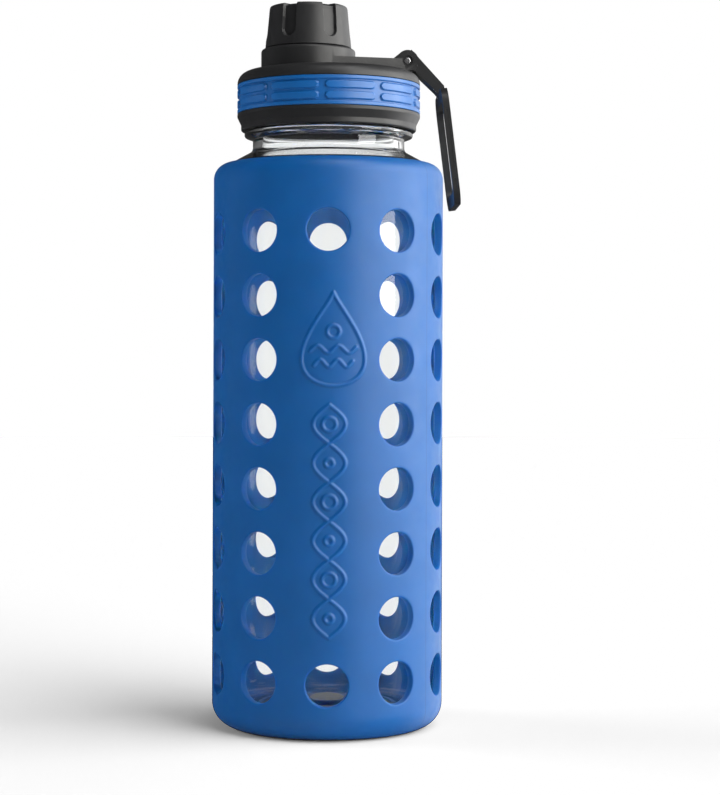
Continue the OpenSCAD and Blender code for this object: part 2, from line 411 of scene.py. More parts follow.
class Nodes:
    """Short way to wire a procedural material."""

    def __init__(self, name: str) -> None:
        """Makes a material with one Principled shader.

        Args:
            name: Name of the material.
        """
        self.material = bpy.data.materials.new(name)
        self.material.use_nodes = True
        self.tree = self.material.node_tree
        self.shader = self.tree.nodes["Principled BSDF"]
        self.place = self.tree.nodes.new("ShaderNodeTexCoord").outputs["Object"]

    def set(self, **sockets: object) -> None:
        """Sets constant sockets of the shader; underscores in names stand for spaces."""
        for name, value in sockets.items():
            self.shader.inputs[name.replace("_", " ")].default_value = value

    def noise(
        self, scale: float, detail: float = 3.0, stretch: tuple = (1, 1, 1)
    ) -> bpy.types.NodeSocket:
        """Adds a noise pattern.

        Args:
            scale: Number of waves in a metre.
            detail: Number of finer layers.
            stretch: Scale along each axis.

        Returns:
            The pattern's value.
        """
        mapping = wire(self.tree, "Mapping", {"Scale": stretch, "Vector": self.place})
        sockets = {"Scale": scale, "Detail": detail, "Vector": mapping.outputs["Vector"]}
        return wire(self.tree, "TexNoise", sockets).outputs["Fac"]

    def seam(self, degrees: float, half: float) -> bpy.types.NodeSocket:
        """Adds a mask along the mould's parting line, for a painted shade that stands in for the
        shading of its fine ridge.

        Args:
            degrees: Angle of the plane from the front towards +X.
            half: Half of the line's width.

        Returns:
            A value that is 1 on the line and 0 beside it.
        """
        turn = math.radians(degrees)
        plane = {0: self.place, 1: (math.cos(turn), math.sin(turn), 0)}
        across = wire(self.tree, "VectorMath", plane, operation="DOT_PRODUCT")
        away = wire(self.tree, "Math", {0: across.outputs["Value"]}, operation="ABSOLUTE")
        return ramp(self.tree, away.outputs["Value"], 0.0, half, (1.0, 0.0))

    def tint(self, value: bpy.types.NodeSocket, dark: tuple, light: tuple) -> None:
        """Colours the shader between two tones by a pattern.

        Args:
            value: The pattern.
            dark: Colour at its low end, linear RGB.
            light: Colour at its high end, linear RGB.
        """
        tones = wire(self.tree, "ValToRGB", {"Fac": value})
        for element, place, tone in zip(tones.color_ramp.elements, PATTERN_SPAN, (dark, light)):
            element.position = place
            element.color = (*tone, 1)
        self.tree.links.new(tones.outputs["Color"], self.shader.inputs["Base Color"])

    def darken(self, value: bpy.types.NodeSocket, share: float) -> None:
        """Darkens the colour where a pattern is 1.

        Args:
            value: The pattern.
            share: Share of the colour that it takes away there.
        """
        colour = self.shader.inputs["Base Color"]
        shade = (1 - share, 1 - share, 1 - share, 1)
        mix = wire(self.tree, "Mix", {}, data_type="RGBA", blend_type="MULTIPLY")
        mix.inputs[7].default_value = shade
        self.tree.links.new(value, mix.inputs["Factor"])
        self.tree.links.new(colour.links[0].from_socket, mix.inputs[6])
        self.tree.links.new(mix.outputs[2], colour)

    def rough(self, value: bpy.types.NodeSocket, low: float, high: float) -> None:
        """Varies the roughness by a pattern."""
        spread = ramp(self.tree, value, *PATTERN_SPAN, (low, high), "LINEAR")
        self.tree.links.new(spread, self.shader.inputs["Roughness"])

    def bump(self, value: bpy.types.NodeSocket, height: float, strength: float) -> None:
        """Adds fine relief; a second call adds to the first.

        Args:
            value: Pattern of the relief.
            height: Its depth.
            strength: Share of it that shows.
        """
        normal = self.shader.inputs["Normal"]
        sockets = {"Distance": height, "Strength": strength, "Height": value}
        if normal.is_linked:
            sockets["Normal"] = normal.links[0].from_socket
        self.tree.links.new(wire(self.tree, "Bump", sockets).outputs["Normal"], normal)


@dataclass(frozen=True)
class MouldedFinish:
    """Moulded plastic or silicone with a fine skin.

    Attributes:
        name: Name of the finish.
        slot: Slot of the record that it belongs to; not used.
        dark: Darker tone, linear RGB.
        light: Lighter tone, linear RGB.
        rough: Lowest and highest roughness.
        grain: Size of the skin's grain.
        relief: Depth of the grain.
        level: Strength of the plain reflection.
        through: Share of the light that spreads inside the material.
        shaded_seam_deg: Place of the mould's parting line, from the front towards +X, where a painted
            shade darkens the colour.
    """

    name: str
    slot: Slot
    dark: tuple
    light: tuple
    rough: tuple
    grain: float
    relief: float
    level: float = 0.5
    through: float = 0.0
    shaded_seam_deg: Optional[float] = None

    def make(self) -> bpy.types.Material:
        """Builds the material.

        Returns:
            The material.
        """
        nodes = Nodes(self.name)
        nodes.set(Specular_IOR_Level=self.level)
        if self.through:
            nodes.set(Subsurface_Weight=self.through, Subsurface_Scale=1.5 * MM)
            nodes.set(Subsurface_Radius=(0.4, 1.0, 2.6))
        cloud = nodes.noise(60.0, 4.0)
        nodes.tint(cloud, self.dark, self.light)
        nodes.rough(nodes.noise(220.0, 3.0), *self.rough)
        nodes.bump(nodes.noise(1.0 / self.grain, 2.0), self.relief, 0.35)
        nodes.bump(nodes.noise(90.0, 2.0), self.relief * 6, 0.12)
        if self.shaded_seam_deg is not None:
            # Painted shade: the colour is darkened along the parting line in place of the shading of
            # its fine ridge.
            nodes.darken(nodes.seam(self.shaded_seam_deg, 0.35 * MM), 0.3)
        return nodes.material


@dataclass(frozen=True)
class GlassFinish:
    """Clear pressed glass with the faint waviness of its walls.

    Attributes:
        name: Name of the finish.
        slot: Slot of the record that it belongs to; not used.
        tint: Colour of light that passes through, linear RGB.
    """

    name: str
    slot: Slot
    tint: tuple

    def make(self) -> bpy.types.Material:
        """Builds the material.

        Returns:
            The material.
        """
        nodes = Nodes(self.name)
        nodes.set(Base_Color=(*self.tint, 1), Roughness=0.0, IOR=1.5, Transmission_Weight=1.0)
        nodes.bump(nodes.noise(28.0, 1.0, (1, 1, 0.35)), 0.00025, 0.10)
        return nodes.material


@dataclass(frozen=True)
class SteelFinish:
    """Turned steel with fine rings.

    Attributes:
        name: Name of the finish.
        slot: Slot of the record that it belongs to; not used.
    """

    name: str
    slot: Slot

    def make(self) -> bpy.types.Material:
        """Builds the material.

        Returns:
            The material.
        """
        nodes = Nodes(self.name)
        nodes.set(Metallic=1.0)
        nodes.tint(nodes.noise(900.0, 2.0), (0.62, 0.62, 0.64), (0.78, 0.78, 0.80))
        nodes.rough(nodes.noise(2500.0, 2.0, (1, 0.1, 1)), 0.18, 0.34)
        nodes.bump(nodes.noise(4000.0, 2.0, (1, 0.1, 1)), 0.00001, 0.3)
        return nodes.material


Finish = MouldedFinish | GlassFinish | SteelFinish

SLEEVE_BLUE = MouldedFinish(
    "blue_silicone_skin", Slot.SLEEVE, (0.0005, 0.093, 0.325), (0.0010, 0.104, 0.365),
    (0.38, 0.48), 0.00035, 0.00003, through=0.3, shaded_seam_deg=57.0,
)
BAND_BLUE = MouldedFinish(
    "blue_band_skin", Slot.BAND, (0.0010, 0.105, 0.36), (0.0015, 0.118, 0.41),
    (0.33, 0.41), 0.0003, 0.00002, level=0.8,
)
LID_BLACK = MouldedFinish(
    "black_moulded_skin", Slot.PLASTIC, (0.0160, 0.0162, 0.0176), (0.0210, 0.0213, 0.0229),
    (0.36, 0.46), 0.00022, 0.000025,
)
SEAL_WHITE = MouldedFinish(
    "seal_skin", Slot.SEAL, (0.70, 0.72, 0.72), (0.78, 0.80, 0.80), (0.45, 0.55), 0.0004, 0.00002,
)
BOTTLE_GLASS = GlassFinish("clear_bottle_glass", Slot.GLASS, (0.985, 0.995, 0.993))
PIN_STEEL = SteelFinish("pin_steel_turned", Slot.STEEL)


class Wardrobe:
    """Makes each finish once and dresses pieces in it."""

    def __init__(self) -> None:
        """Starts with no material made."""
        self.made: dict[str, bpy.types.Material] = {}

    def dress(self, piece: bpy.types.Object, finish: Finish) -> None:
        """Gives a piece its only material.

        Args:
            piece: Piece to dress.
            finish: Finish that it gets.
        """
        if finish.name not in self.made:
            self.made[finish.name] = finish.make()
        piece.data.materials.clear()
        piece.data.materials.append(self.made[finish.name])


# ---------------------------------------------------------------- the raised panel


@dataclass
class RaisedPanel:
    """Raised outlines on the front of the sleeve: a drop, and below it a chain of ripples.

    Attributes:
        height: How far the lines stand proud.
        half: Half of a line's width at its foot.
        drop_x: Sideways place of the drop.
        drop_z: Height of the drop's centre.
        drop_size: Half height of the drop.
        chain_x: Sideways place of the chain.
        chain_low: Height of the chain's lower end.
        chain_high: Height of the chain's upper end.
        chain_amp: Half width of the chain.
        links: Number of links in the chain.
    """

    height: float = 0.5 * MM
    half: float = 0.85 * MM
    drop_x: float = 2.0 * MM
    drop_z: float = 147.5 * MM
    drop_size: float = 17.0 * MM
    chain_x: float = 0.6 * MM
    chain_low: float = 38.5 * MM
    chain_high: float = 123.5 * MM
    chain_amp: float = 5.9 * MM
    links: int = 6

    def ring(self, x: float, z: float, radius: float) -> np.ndarray:
        """Points of a closed ring, from its centre and radius."""
        t = np.linspace(0, 2 * math.pi, 33)
        return np.stack([x + radius * np.cos(t), z + radius * np.sin(t)], -1)

    def drop(self) -> np.ndarray:
        """Draws the drop.

        Returns:
            Points of a closed outline with its tip up.
        """
        t = np.linspace(0, 2 * math.pi, 81)
        wide = 0.98 * self.drop_size * np.sin(t) * np.abs(np.sin(t / 2)) ** 1.5
        return np.stack([self.drop_x + wide, self.drop_z + self.drop_size * np.cos(t)], -1)

    def wave(self, z: float, reach: float) -> np.ndarray:
        """Points of a short level wave inside the drop, from its height and half length."""
        t = np.linspace(-1, 1, 31)
        return np.stack([self.drop_x + reach * t, z + 1.3 * MM * np.sin(2.2 * math.pi * t)], -1)

    def lines(self) -> list[np.ndarray]:
        """Draws all the lines of the panel.

        Returns:
            Each line as rows of (sideways, height) points.
        """
        size = self.drop_size
        found = [
            self.drop(),
            self.wave(self.drop_z - 0.22 * size, 0.50 * size),
            self.wave(self.drop_z - 0.52 * size, 0.42 * size),
            self.ring(self.drop_x, self.drop_z + 0.16 * size, 2.3 * MM),
        ]
        span = self.chain_high - self.chain_low
        t = np.linspace(0, 1, 40 * self.links + 1)
        swing = self.chain_amp * np.sin(math.pi * self.links * t)
        for side in (1, -1):
            found.append(np.stack([self.chain_x + side * swing, self.chain_low + span * t], -1))
        step = span / self.links
        for link in range(self.links):
            middle = self.chain_low + step * (link + 0.5)
            found.append(self.ring(self.chain_x, middle, (2.5 if link % 2 else 1.5) * MM))
        return found

    def relief(self, sideways: np.ndarray, height: np.ndarray) -> np.ndarray:
        """Height of the panel's surface above the plain sleeve.

        Args:
            sideways: Distance along the surface from the middle of the panel.
            height: Height above the base.

        Returns:
            The relief at each point.
        """
        nearest = np.full(sideways.shape, 1.0)
        for line in self.lines():
            for start, end in zip(line[:-1], line[1:]):
                step = end - start
                length = float(step @ step)
                low = np.minimum(start, end) - 2 * self.half
                high = np.maximum(start, end) + 2 * self.half
                near = (
                    (sideways > low[0]) & (sideways < high[0]) & (height > low[1]) & (height < high[1])
                )
                if length == 0 or not near.any():
                    continue
                dx, dz = sideways[near] - start[0], height[near] - start[1]
                along = np.clip((dx * step[0] + dz * step[1]) / length, 0, 1)
                away = np.hypot(dx - along * step[0], dz - along * step[1])
                nearest[near] = np.minimum(nearest[near], away)
        return self.height * smooth_step(self.half, self.half * 0.3, nearest)


# ---------------------------------------------------------------- sub-assemblies


@dataclass
class Sleeve:
    """Silicone sleeve: columns of round windows, and a raised panel at the front.

    Attributes:
        radius: Outer radius.
        top: Height of the rim.
        wall: Wall thickness.
        foot: Radius of the bottom edge.
        columns: Number of window columns.
        rows: Number of window rows.
        window: Radius of a window.
        edge: Rounding of a window's edge.
        low: Height of the lowest windows' centres.
        pitch: Distance between rows.
        panel_deg: Half angle of the front panel.
        cuts: Mesh divisions along each side of a window's cell.
        fine_across: Fine divisions of the panel for each plain one, sideways.
        fine_up: The same, upwards.
    """

    radius: float
    top: float
    wall: float = 3 * MM
    foot: float = 9.3 * MM
    columns: int = 10
    rows: int = 8
    window: float = 7.85 * MM
    edge: float = 0.55 * MM
    low: float = 21.1 * MM
    pitch: float = 23.77 * MM
    panel_deg: float = 22.0
    cuts: int = 12
    fine_across: int = 8
    fine_up: int = 6

    def spans(self) -> list[tuple]:
        """Shares the sleeve's round among its columns.

        Returns:
            Centre, first and last angle of each column in degrees from the front.
        """
        step = 360 / self.columns
        found = []
        for column in range(self.columns):
            middle = step * column
            first = self.panel_deg if column == 1 else middle - step / 2
            last = 360 - self.panel_deg if column == self.columns - 1 else middle + step / 2
            if column == 0:
                first, last = -self.panel_deg, self.panel_deg
            found.append((middle, first, last))
        return found

    def levels(self) -> list[float]:
        """Shares the sleeve's height among its rows.

        Returns:
            Heights between the rows of cells, from the lowest to the highest.
        """
        heights = [self.low + self.pitch * (row - 0.5) for row in range(self.rows + 1)]
        heights[0] = self.foot
        return heights

    def surface(self, degrees: np.ndarray, radius: np.ndarray, height: np.ndarray) -> np.ndarray:
        """Points on the sleeve from the angle from the front, the radius and the height."""
        theta = np.radians(degrees) + FRONT
        return np.stack([radius * np.cos(theta), radius * np.sin(theta), height], -1)

    def cell(self, draft: MeshDraft, span: tuple, low: float, high: float, middle: float) -> None:
        """Adds one window with its rounded edges, and the wall round it.

        Args:
            draft: Mesh to add to.
            span: Centre, first and last angle of the cell.
            low: Lower edge of the cell.
            high: Upper edge of the cell.
            middle: Height of the window's centre.
        """
        along = np.linspace(0, 1, self.cuts, endpoint=False)
        full = np.ones(self.cuts)
        turn = np.concatenate([along, full, 1 - along, 0 * full])
        rise = np.concatenate([0 * full, along, full, 1 - along])
        swing = np.radians(span[1] - span[0] + (span[2] - span[1]) * turn)
        border_z = low + (high - low) * rise
        bearing = np.radians(-135 + 90 / self.cuts * np.arange(4 * self.cuts))

        def circle(size: float, depth: float) -> tuple:
            """Sideways places, heights and radii of a round of the given size and depth."""
            return size * np.cos(bearing), middle + size * np.sin(bearing), self.radius - depth

        def blend(share: float, size: float, depth: float) -> tuple:
            """The same, drawn out towards the cell's border by what the share leaves."""
            x, z, r = circle(size, depth)
            return (1 - share) * r * np.sin(swing) + share * x, (1 - share) * border_z + share * z, r

        outer = self.window + self.edge
        rings = [blend(share, outer, 0) for share in (0, 0.4, 0.72, 0.92)]
        for step in range(5):
            a = math.pi / 2 * step / 4
            rings.append(circle(outer - self.edge * math.sin(a), self.edge * (1 - math.cos(a))))
        for step in range(3):
            a = math.pi / 2 * step / 2
            rings.append(
                circle(
                    self.window + 0.5 * self.edge * (1 - math.cos(a)),
                    self.wall - 0.5 * self.edge * (1 - math.sin(a)),
                )
            )
        rings += [blend(share, self.window + 0.5 * self.edge, self.wall) for share in (0.8, 0.4, 0)]
        sheet = []
        for x, z, r in rings:
            degrees = span[0] + np.degrees(np.arcsin(x / r))
            sheet.append(self.surface(degrees, np.full(len(z), r), z))
        draft.grid(np.array(sheet), wrap_cols=True)

    def panel(self, draft: MeshDraft, low: float, high: float, cells: int) -> None:
        """Adds the front panel: a fine grid that meets the plain cells round it.

        Args:
            draft: Mesh to add to.
            low: Lower edge of the panel.
            high: Upper edge of the panel.
            cells: Number of cells that it is high.
        """
        wide, tall = self.cuts * self.fine_across, self.cuts * cells * self.fine_up
        degrees = np.linspace(-self.panel_deg, self.panel_deg, wide + 1)
        heights = np.linspace(low, high, tall + 1)
        deg, z = np.meshgrid(degrees, heights)
        proud = RaisedPanel().relief(np.radians(deg) * self.radius, z)
        sheet = self.surface(deg, self.radius + proud, z)
        first = draft.add(sheet)

        def at(row: int, col: int) -> int:
            """Index of a point of the fine grid."""
            return first + row * (wide + 1) + col

        inner = [
            (at(i, j), at(i, j + 1), at(i + 1, j + 1), at(i + 1, j))
            for i in range(1, tall - 1)
            for j in range(1, wide - 1)
        ]
        draft.faces.extend(inner)
        for up, length, width, stride in (
            (True, tall, wide, self.fine_up), (False, wide, tall, self.fine_across)
        ):
            for s in range(0, length, stride):
                fine = range(max(1, s), min(length - 1, s + stride) + 1)
                for edge, beside in ((0, 1), (width, width - 1)):
                    corners = [(i, beside) for i in fine] + [(s + stride, edge), (s, edge)]
                    draft.faces.append(tuple(at(*c) if up else at(*c[::-1]) for c in corners))
        deg, z = np.meshgrid(
            np.linspace(-self.panel_deg, self.panel_deg, self.cuts + 1),
            np.linspace(low, high, self.cuts * cells + 1),
        )
        draft.grid(self.surface(deg, np.full(deg.shape, self.radius - self.wall), z))

    def collar(self, draft: MeshDraft, outline: Sequence[tuple]) -> None:
        """Turns an open outline round the sleeve, with a column at each cell's division.

        Args:
            draft: Mesh to add to.
            outline: (distance, height) points.
        """
        columns = [
            np.linspace(first, last, self.cuts, endpoint=False) for _, first, last in self.spans()
        ]
        draft.lathe(outline, np.radians(np.concatenate(columns)) + FRONT, closed=False)

    def build(self, wardrobe: Wardrobe) -> bpy.types.Object:
        """Makes the sleeve and dresses it.

        Args:
            wardrobe: Where its finish comes from.

        Returns:
            The piece.
        """
        draft = MeshDraft()
        levels = self.levels()
        for column, span in enumerate(self.spans()):
            for row in range(self.rows):
                if column or row in (0, self.rows - 1):
                    middle = self.low + self.pitch * row
                    self.cell(draft, span, levels[row], levels[row + 1], middle)
        self.panel(draft, levels[1], levels[-2], self.rows - 2)
        inside = self.radius - self.wall
        foot = self.foot
        self.collar(draft, [
            (self.radius, levels[0]),
            *arc(self.radius - foot, foot, foot, 0, -90, 12)[1:],
            (self.radius - 2 * foot, 0),
            (0, 0),
        ])
        self.collar(draft, [
            (inside, levels[0]),
            *arc(self.radius - foot, foot, foot - self.wall, 0, -90, 8)[1:],
            (self.radius - 2 * foot, self.wall),
            (0, self.wall),
        ])
        rim = 6.2 * MM
        mouth = 39 * MM
        lip = 0.4 * MM
        over = arc(self.radius - rim, self.top - rim, rim, 0, 70, 10)
        under = arc(inside - 8.1 * MM, self.top - 6.7 * MM, 8.1 * MM, 38, 0, 6)
        rounded_lip = rounded([
            over[-1], (mouth, self.top - 0.12 * MM, lip), (mouth, self.top - 1.35 * MM, lip), under[0]
        ])
        self.collar(draft, [
            (self.radius, levels[-1]), (self.radius, self.top - 1.8 * rim), *over[:-1],
            *rounded_lip, *under[1:], (inside, levels[-1]),
        ])
        piece = draft.build("sleeve_skin", crease=60)
        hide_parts("silicone_sleeve")
        wardrobe.dress(piece, SLEEVE_BLUE)
        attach(piece, "bottle")
        return piece


@dataclass
class Flask:
    """Clear glass bottle with a heavy floor, a bead and a threaded neck.

    Attributes:
        radius: Outer radius of the wall.
        base: Height of the underside.
        top: Height of the drinking rim.
        wall: Wall thickness.
        floor: Thickness of the floor.
        neck: Radius of the neck below the bead.
        root: Radius of the neck under the thread.
    """

    radius: float
    base: float
    top: float
    wall: float = 2.5 * MM
    floor: float = 5.5 * MM
    neck: float = 29.1 * MM
    root: float = 28.0 * MM

    def outline(self) -> list[tuple]:
        """Draws the wall of the glass.

        Returns:
            Closed outline, from the underside round to the floor.
        """
        foot = 6.3 * MM
        bend = 8.0 * MM
        shoulder = 208.5 * MM
        bead = 32.3 * MM
        centre = self.radius - bend
        mouth = self.root - self.wall
        inside = self.radius - self.wall
        level = self.base + self.floor
        drinking_lip = 1.2 * MM
        inner_lip = 0.9 * MM
        thread_rows = np.linspace(228.2 * MM, 243.0 * MM, 75)
        return [
            (0, self.base + 2.6 * MM),
            (10 * MM, self.base + 2.4 * MM),
            (18 * MM, self.base + 1.9 * MM),
            *rounded([
                (24 * MM, self.base + 1.3 * MM), (24.4 * MM, self.base + 0.7 * MM, 0.3 * MM),
                (26.6 * MM, self.base + 0.7 * MM, 0.3 * MM), (27 * MM, self.base + 1.3 * MM, 0.3 * MM),
            ])[:-1],
            *arc(29.5 * MM, self.base + 1.5 * MM, 1.5 * MM, 215, 270, 5),
            *arc(self.radius - foot, self.base + foot, foot, -90, 0, 14),
            (self.radius, 60 * MM), (self.radius, 110 * MM), (self.radius, 160 * MM),
            *arc(centre, shoulder, bend, 0, 65, 14),
            *arc(self.neck + 2.6 * MM, 221.2 * MM, 2.6 * MM, 245, 180, 8),
            *rounded([
                (self.neck, 222.5 * MM), (self.neck, 224.2 * MM, 0.5 * MM),
                (bead, 225.3 * MM, 0.8 * MM), (bead, 227.0 * MM, 0.7 * MM),
                (self.root, 227.1 * MM, 0.3 * MM), (self.root, 228.0 * MM),
            ], 5)[:-1],
            *[(self.root, z) for z in thread_rows],
            *arc(self.root - drinking_lip, self.top - drinking_lip, drinking_lip, 0, 90, 7),
            *arc(mouth + inner_lip, self.top - inner_lip, inner_lip, 90, 180, 6),
            (mouth, 232 * MM),
            *arc(mouth + 3.6 * MM, 220.6 * MM, 3.6 * MM, 180, 245, 8),
            *arc(centre, shoulder, bend - self.wall, 65, 0, 12),
            (inside, 160 * MM), (inside, 110 * MM), (inside, 60 * MM),
            *arc(inside - 5 * MM, level + 5 * MM, 5 * MM, 0, -90, 10),
            (26 * MM, level), (22 * MM, level + 0.6 * MM), (16 * MM, level + 1.6 * MM),
            (8 * MM, level + 2.3 * MM), (0, level + 2.5 * MM),
        ]

    def build(self, wardrobe: Wardrobe) -> bpy.types.Object:
        """Makes the glass and dresses it.

        Args:
            wardrobe: Where its finish comes from.

        Returns:
            The piece.
        """
        ridge = helix_ridge(6 * MM, 1.25, 231.5 * MM, 1.2 * MM, 1.2 * MM)

        def relief(theta: np.ndarray, radius: np.ndarray, height: np.ndarray) -> np.ndarray:
            """New radius of each point: the thread stands on the neck alone."""
            on_neck = np.abs(radius - self.root) < 1e-6
            return np.where(on_neck, ridge(theta, radius, height), radius)

        draft = MeshDraft()
        draft.lathe(self.outline(), round_angles(180), relief=relief)
        piece = draft.build("flask_glass", crease=70)
        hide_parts("glass_bottle")
        wardrobe.dress(piece, BOTTLE_GLASS)
        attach(piece, "bottle")
        return piece


@dataclass
class GripBand:
    """Soft ring on the lid with two rims and two rows of raised bars.

    Attributes:
        radius: Outer radius.
        low: Lower edge.
        high: Upper edge.
        depth: Thickness of the ring.
        groove: Depth of the channel between the rims.
        rim: Height of each rim.
        bars: Number of bars in a row.
        bar: Height of a bar.
        row_gap: Gap between the two rows.
        gap_deg: Gap between two bars of a row.
        first_deg: Middle of the first gap, from the front towards +X.
    """

    radius: float
    low: float
    high: float
    depth: float = 2.05 * MM
    groove: float = 0.8 * MM
    rim: float = 1.4 * MM
    bars: int = 10
    bar: float = 2.75 * MM
    row_gap: float = 1.25 * MM
    gap_deg: float = 4.3
    first_deg: float = -4.2

    def relief(self, theta: np.ndarray, radius: np.ndarray, height: np.ndarray) -> np.ndarray:
        """Lowers the channel and leaves the rims and bars standing.

        Args:
            theta: Angle of each point.
            radius: Plain radius of each point.
            height: Height of each point.

        Returns:
            The new radius of each point.
        """
        soft = 0.10 * MM
        from_edge = np.minimum(height - self.low, self.high - height)
        rim = smooth_step(self.rim + soft, self.rim - soft, from_edge)
        step = 2 * math.pi / self.bars
        start = FRONT + math.radians(self.first_deg)
        around = ((theta - start) % step - step / 2) * self.radius
        half_long = (step - math.radians(self.gap_deg)) / 2 * self.radius
        mid = (self.low + self.high) / 2
        up = np.abs(np.abs(height - mid) - (self.bar + self.row_gap) / 2)
        cap = self.bar / 2
        away = np.hypot(np.maximum(np.abs(around) - (half_long - cap), 0), up) - cap
        bar = smooth_step(soft, -2 * soft, away)
        outside = radius > self.radius - 0.5 * MM
        return np.where(outside, radius - self.groove * (1 - np.maximum(rim, bar)), radius)

    def build(self, wardrobe: Wardrobe) -> bpy.types.Object:
        """Makes the band and dresses it.

        Args:
            wardrobe: Where its finish comes from.

        Returns:
            The piece.
        """
        edge = 0.3 * MM
        inner = self.radius - self.depth
        face = [(self.radius, z) for z in np.linspace(self.low + edge, self.high - edge, 60)]
        outline = [
            (inner, self.low), (self.radius - 0.6 * MM, self.low),
            *arc(self.radius - edge, self.low + edge, edge, -90, 0, 4)[:-1], *face,
            *arc(self.radius - edge, self.high - edge, edge, 0, 90, 4)[1:],
            (self.radius - 0.6 * MM, self.high), (inner, self.high),
        ]
        draft = MeshDraft()
        draft.lathe(outline, round_angles(640), relief=self.relief)
        piece = draft.build("grip_band_skin", crease=60)
        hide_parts("grip_band")
        wardrobe.dress(piece, BAND_BLUE)
        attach(piece, "lid")
        return piece


@dataclass
class LidShell:
    """Outer shell of the lid: skirt, band channel and domed top.

    Attributes:
        radius: Largest radius.
        low: Lower edge.
        top: Height of the flat top.
        band_low: Lower edge of the grip band.
        band_high: Upper edge of the grip band.
        spout_x: Place of the spout's axis.
        hole: Radius of the spout's hole.
        pin: Place of the hinge pin, along X and Z.
        sweep: Radius of the trough that the handle's arm turns in.
        trough: Length of the trough.
    """

    radius: float
    low: float
    top: float
    band_low: float
    band_high: float
    spout_x: float
    hole: float = 12.0 * MM
    pin: tuple = (30.0 * MM, 253.9 * MM)
    sweep: float = 5.4 * MM
    trough: float = 11.0 * MM

    def cut(self, piece: bpy.types.Object, radius: float, length: float, place: Matrix) -> None:
        """Cuts a round bar out of the shell.

        Args:
            piece: The shell.
            radius: Radius of the bar.
            length: Length of the bar.
            place: Where the bar's middle is and how it lies.
        """
        draft = MeshDraft()
        draft.lathe(
            [(0, -length / 2), (radius, -length / 2), (radius, length / 2), (0, length / 2)],
            round_angles(96),
        )
        cutter = draft.build("shell_cutter")
        cutter.data.transform(place)
        cut = piece.modifiers.new("shell_cutter", "BOOLEAN")
        cut.operation = "DIFFERENCE"
        cut.object = cutter
        apply_modifiers(piece)
        bpy.data.objects.remove(cutter)

    def build(self, wardrobe: Wardrobe) -> bpy.types.Object:
        """Makes the shell and dresses it.

        Args:
            wardrobe: Where its finish comes from.

        Returns:
            The piece.
        """
        skirt = 33.65 * MM
        inner = 31.4 * MM
        flare_low, flare_high = 229.8 * MM, 232.8 * MM
        channel = self.radius - 2.15 * MM
        edge = 0.35 * MM
        gap = 0.1 * MM
        dome = 4.6 * MM
        flat = self.radius - 9 * MM
        under = self.top - 2 * MM
        outline = rounded([
            (inner, self.low, 0.2 * MM), (skirt, self.low, 0.7 * MM), (skirt, flare_low, 1.2 * MM),
            (self.radius, flare_high, 0.9 * MM), (self.radius, self.band_low - gap, edge),
            (channel, self.band_low - gap), (channel, self.band_high + gap),
            (self.radius, self.band_high + gap, 0.2 * MM), (self.radius, self.top, dome),
            (flat, self.top), (0, self.top), (0, under), (inner, under),
        ], 10)
        sharp = 50.0
        draft = MeshDraft()
        draft.lathe(outline, round_angles(180))
        piece = draft.build("lid_shell", crease=sharp)
        self.cut(piece, self.hole, 20 * MM, Matrix.Translation((self.spout_x, 0, self.top)))
        lying = Matrix.Rotation(math.pi / 2, 4, "X")
        pin_x, pin_z = self.pin
        self.cut(piece, self.sweep, self.trough, Matrix.Translation((pin_x, 0, pin_z)) @ lying)
        piece.data.set_sharp_from_angle(angle=math.radians(sharp))
        even_normals(piece)
        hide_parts("lid_cover")
        wardrobe.dress(piece, LID_BLACK)
        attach(piece, "lid")
        return piece


